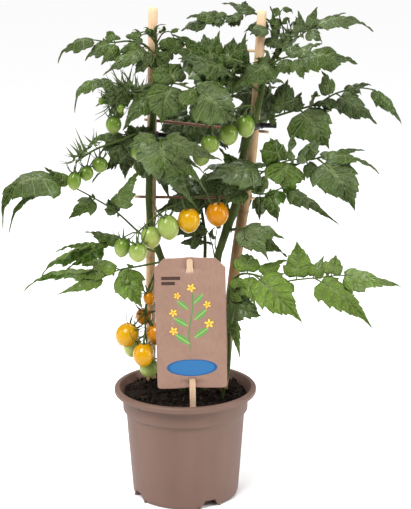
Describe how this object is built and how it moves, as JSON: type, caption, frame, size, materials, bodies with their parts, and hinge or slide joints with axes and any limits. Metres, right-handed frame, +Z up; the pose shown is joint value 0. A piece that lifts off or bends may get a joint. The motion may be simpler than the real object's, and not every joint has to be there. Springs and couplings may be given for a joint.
{
  "type": "cherry tomato plant in a pot",
  "caption": "Young cherry tomato plant with ripening fruit trusses in a round nursery pot, tied to a small bamboo ladder, with a stick-in card label.",
  "frame": {"origin": "centre of the pot's base, where it rests", "axes": "+Z up the pot's axis, +X to the right of the side with the label, -Y towards the viewer of that side"},
  "size_m": [0.3746, 0.2005, 0.4831],
  "materials": {
    "pot": "matt moulded taupe plastic",
    "soil": "moist peaty compost",
    "cane": "bamboo with darker nodes",
    "rung": "thin brown split rod",
    "clip": "black plastic",
    "card": "printed brown card",
    "stick": "pale flat wood",
    "stem": "green hairy stem",
    "leaf": "soft hairy green leaf",
    "calyx": "green fruit stalk",
    "fruit_green": "smooth pale green skin",
    "fruit_yellow": "smooth golden yellow skin",
    "fruit_orange": "smooth orange skin"
  },
  "bodies": {
    "root": {"cane_left": "cane", "cane_right": "cane", "clip_left": "clip", "clip_right": "clip", "fruit_a1": "fruit_green", "fruit_a2": "fruit_green", "fruit_a3": "fruit_green", "fruit_a4": "fruit_green", "fruit_a5": "fruit_yellow", "fruit_a6": "fruit_orange", "fruit_b1": "fruit_green", "fruit_b2": "fruit_green", "fruit_b3": "fruit_green", "fruit_b4": "fruit_green", "fruit_c1": "fruit_green", "fruit_e1": "fruit_green", "fruit_e2": "fruit_green", "fruit_e3": "fruit_green", "fruit_f1": "fruit_yellow", "fruit_f2": "fruit_yellow", "fruit_f3": "fruit_orange", "fruit_f4": "fruit_orange", "fruit_f8": "fruit_green", "label_card": "card", "label_stick": "stick", "leaf_back_high": "leaf", "leaf_back_left": "leaf", "leaf_back_right": "leaf", "leaf_centre_front": "leaf", "leaf_centre_rear": "leaf", "leaf_centre_top": "leaf", "leaf_centre_upper": "leaf", "leaf_far_left": "leaf", "leaf_far_right": "leaf", "leaf_left_arched": "leaf", "leaf_left_drooping": "leaf", "leaf_left_folded": "leaf", "leaf_lower_left": "leaf", "leaf_lower_right": "leaf", "leaf_right_hanging": "leaf", "leaf_right_middle": "leaf", "leaf_right_small": "leaf", "leaf_top_arching": "leaf", "leaf_top_left": "leaf", "leaf_top_right": "leaf", "leaf_upper_right": "leaf", "pot": "pot", "rung_middle": "rung", "rung_top": "rung", "rung_upper": "rung", "shoot_low_right": "stem", "shoot_middle": "stem", "soil": "soil", "stem_left": "stem", "stem_right": "stem", "truss_a": "calyx", "truss_b": "calyx", "truss_c": "calyx", "truss_e": "calyx", "truss_f": "calyx"}
  },
  "joints": []
}
